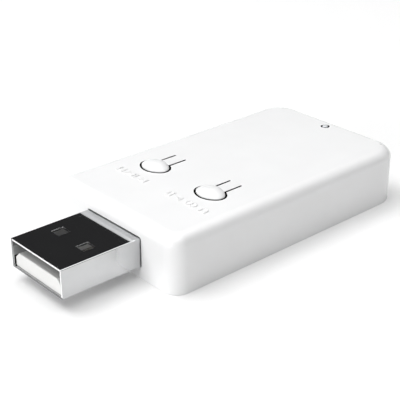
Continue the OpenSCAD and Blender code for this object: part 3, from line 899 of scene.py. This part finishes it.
def make_jack():
    """The moulded block and nose, bored through, with side slots for its springs."""
    w = jack_high.x - jack_low.x
    corner_r, end_r = 0.25, 0.1
    lip, throat = 0.12, 0.35
    section = rounded_rect(-JACK_X - w / 2, JACK_Z - JACK_H / 2,
                           -JACK_X + w / 2, JACK_Z + JACK_H / 2, corner_r, steps=4)
    block = prism("jack_block", section, jack_low.y, JACK_FRONT, end_r, end_r)
    nose = [(0, JACK_FRONT - 1), (JACK_NOSE_R, JACK_FRONT - 1)]
    nose += [(JACK_NOSE_R - inset, REAR_Y - lip + rise) for inset, rise in roll(lip)]
    nose.append((0, REAR_Y))
    join(block, revolve("nose", nose, -JACK_X, JACK_Z, 64))
    bore = [(0, REAR_Y - JACK_DEPTH), (JACK_BORE_R, REAR_Y - JACK_DEPTH)]
    bore += [(JACK_BORE_R, REAR_Y - throat), (JACK_BORE_R + throat + 1, REAR_Y + 1), (0, REAR_Y + 1)]
    cut(block, revolve("bore", bore, -JACK_X, JACK_Z, 64))
    turned(turned(block, 90, "X"), 180, "Z")
    slot_half_h, slot_room = 0.7, 0.2
    for name in ("jack_tip_contact", "jack_ring_contact", "jack_sleeve_contact"):
        low, high = box(name)
        way = 1 if (low.x + high.x) / 2 > JACK_X else -1
        slot = bar(JACK_X + way * w / 4, (low.y + high.y) / 2,
                   w / 2 + slot_room, high.y - low.y + 2 * slot_room)
        cut(block, prism("slot", slot, JACK_Z - slot_half_h, JACK_Z + slot_half_h))
    piece(block, "jack_black", "housing", "jack_body")


make_jack()

# ---- Stage, lights and camera ----

CAMERA_AZIMUTH = 48.29
CAMERA_ELEVATION = 26.2
CAMERA_DISTANCE = 167.6
CAMERA_TARGET = Vector((-10.87, 9.04, -2.69))
CAMERA_LENS = 89.55

AMBIENT = 0.05
FLOOR_GLOW = 0.13
# Distances from the object, in metres, between which the floor's glow rises to full white
GLOW_NEAR, GLOW_FAR = 0.2, 0.6
# Heights of a mirrored direction, from 0 at the horizon to 1 overhead, between which it brightens
MIRROR_DARK_TO, MIRROR_PALE_FROM = 0.62, 0.85
# Each softbox: azimuth, elevation, distance and size in metres, and power in watts
SOFTBOXES = {
    "overhead": (0, 88, 0.5, 0.8, 3.0),
    "front": (0, 12, 1.0, 0.35, 3.3),
    "front_left": (-50, 60, 1.0, 0.7, 5.0),
}


def direction(azimuth, elevation):
    """From the object towards a viewer at that azimuth and elevation, in degrees."""
    a, e = math.radians(azimuth), math.radians(elevation)
    return Vector((math.sin(a) * math.cos(e), -math.cos(a) * math.cos(e), math.sin(e)))


def make_camera():
    """The camera at the viewing angle of the main picture."""
    data = bpy.data.cameras.new("camera")
    data.lens = CAMERA_LENS
    data.sensor_width = 36
    data.clip_start = 0.01
    camera = bpy.data.objects.new("camera", data)
    bpy.context.scene.collection.objects.link(camera)
    towards = direction(CAMERA_AZIMUTH, CAMERA_ELEVATION)
    camera.location = (CAMERA_TARGET + towards * CAMERA_DISTANCE) * MM
    camera.rotation_euler = towards.to_track_quat("Z", "Y").to_euler()
    bpy.context.scene.camera = camera


def make_floor():
    """White paper that glows faintly near the object and more towards the horizon."""
    size = 8.0
    floor = new_object("floor", level(bar(0, 0, size, size), 0), [(0, 1, 2, 3)])
    n = Nodes("floor_paper")
    fibre = n.noise(0.8, detail=4.0)
    n.set(Base_Color=n.shades(fibre, (0.8, 0.8, 0.8), (0.81, 0.81, 0.81)))
    distance = n.add("ShaderNodeVectorMath", {0: n.place}, operation="LENGTH").outputs["Value"]
    glow = n.span(distance, FLOOR_GLOW, 1.0, GLOW_NEAR, GLOW_FAR)
    n.set(Emission_Color=WHITE, Emission_Strength=glow)
    floor.data.materials.append(n.set(Roughness=n.span(fibre, 0.86, 0.94), Specular_IOR_Level=0.2))


def softbox(name, azimuth, elevation, distance, size, power):
    """A square area light that faces the object."""
    data = bpy.data.lights.new(name, "AREA")
    data.shape = "SQUARE"
    data.size = size
    data.energy = power
    light = bpy.data.objects.new(name, data)
    towards = direction(azimuth, elevation)
    light.location = towards * distance
    light.rotation_euler = towards.to_track_quat("Z", "Y").to_euler()
    bpy.context.scene.collection.objects.link(light)


def make_world():
    """A white backdrop, faint even light, and for mirrors a dark room under a pale ceiling."""
    world = bpy.data.worlds.new("studio")
    world.use_nodes = True
    tree = world.node_tree
    tree.nodes.clear()
    link = tree.links.new

    def background(colour, strength):
        node = tree.nodes.new("ShaderNodeBackground")
        node.inputs["Color"].default_value = colour
        node.inputs["Strength"].default_value = strength
        return node

    def choose(ray, otherwise, seen):
        node = tree.nodes.new("ShaderNodeMixShader")
        link(rays.outputs[ray], node.inputs["Fac"])
        link(otherwise, node.inputs[1])
        link(seen, node.inputs[2])
        return node.outputs["Shader"]

    rays = tree.nodes.new("ShaderNodeLightPath")
    place = tree.nodes.new("ShaderNodeTexCoord")
    axes = tree.nodes.new("ShaderNodeSeparateXYZ")
    ramp = tree.nodes.new("ShaderNodeValToRGB")
    ramp.color_ramp.elements[0].position = MIRROR_DARK_TO
    ramp.color_ramp.elements[0].color = (0.035, 0.035, 0.036, 1)
    ramp.color_ramp.elements[1].position = MIRROR_PALE_FROM
    ramp.color_ramp.elements[1].color = (0.9, 0.9, 0.9, 1)
    mirrored = background(WHITE, 1.0)
    link(place.outputs["Generated"], axes.inputs["Vector"])
    link(axes.outputs["Z"], ramp.inputs["Fac"])
    link(ramp.outputs["Color"], mirrored.inputs["Color"])
    ambient = background(WHITE, AMBIENT).outputs["Background"]
    lit = choose("Is Glossy Ray", ambient, mirrored.outputs["Background"])
    backdrop = background(WHITE, 1.0).outputs["Background"]
    output = tree.nodes.new("ShaderNodeOutputWorld")
    link(choose("Is Camera Ray", lit, backdrop), output.inputs["Surface"])
    bpy.context.scene.world = world


make_camera()
make_floor()
make_world()
for name, settings in SOFTBOXES.items():
    softbox(name, *settings)
bpy.context.scene.view_settings.view_transform = "Standard"
